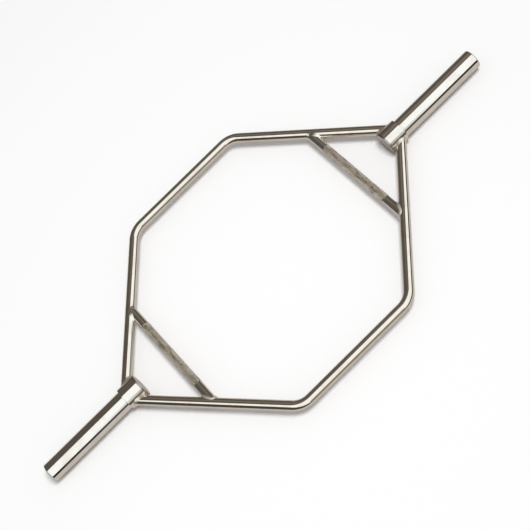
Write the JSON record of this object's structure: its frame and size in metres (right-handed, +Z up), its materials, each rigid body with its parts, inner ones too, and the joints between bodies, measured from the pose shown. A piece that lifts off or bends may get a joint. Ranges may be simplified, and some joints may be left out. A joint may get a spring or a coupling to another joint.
{
  "type": "hex trap bar",
  "caption": "Welded hexagon-shaped lifting bar of bright plated round steel, with knurled handles inside the frame and fixed sleeves that carry weight plates.",
  "frame": {"origin": "on the floor below the middle of the bar, level with the lowest line of the collars", "axes": "+X along the sleeves, +Y from the front long side to the rear one, +Z up"},
  "size_m": [1.422, 0.704, 0.061],
  "materials": {
    "plated_steel": "bright warm nickel-chrome plate over ground steel",
    "knurled_steel": "diamond knurl with a dull plate, bright smooth ends",
    "plate_steel": "turned face under a satin plate",
    "weld_metal": "rippled weld bead, plated with the rest"
  },
  "bodies": {
    "root": {"frame_bar_front": "plated_steel", "frame_bar_rear": "plated_steel", "sleeve_left": "plated_steel", "collar_left": "plated_steel", "collar_end_plate_left": "plate_steel", "sleeve_end_plug_left": "plate_steel", "handle_left": "knurled_steel", "handle_weld_left_front": "weld_metal", "bar_weld_left_front": "weld_metal", "handle_weld_left_rear": "weld_metal", "bar_weld_left_rear": "weld_metal", "sleeve_right": "plated_steel", "collar_right": "plated_steel", "collar_end_plate_right": "plate_steel", "sleeve_end_plug_right": "plate_steel", "handle_right": "knurled_steel", "handle_weld_right_front": "weld_metal", "bar_weld_right_front": "weld_metal", "handle_weld_right_rear": "weld_metal", "bar_weld_right_rear": "weld_metal"}
  },
  "joints": []
}
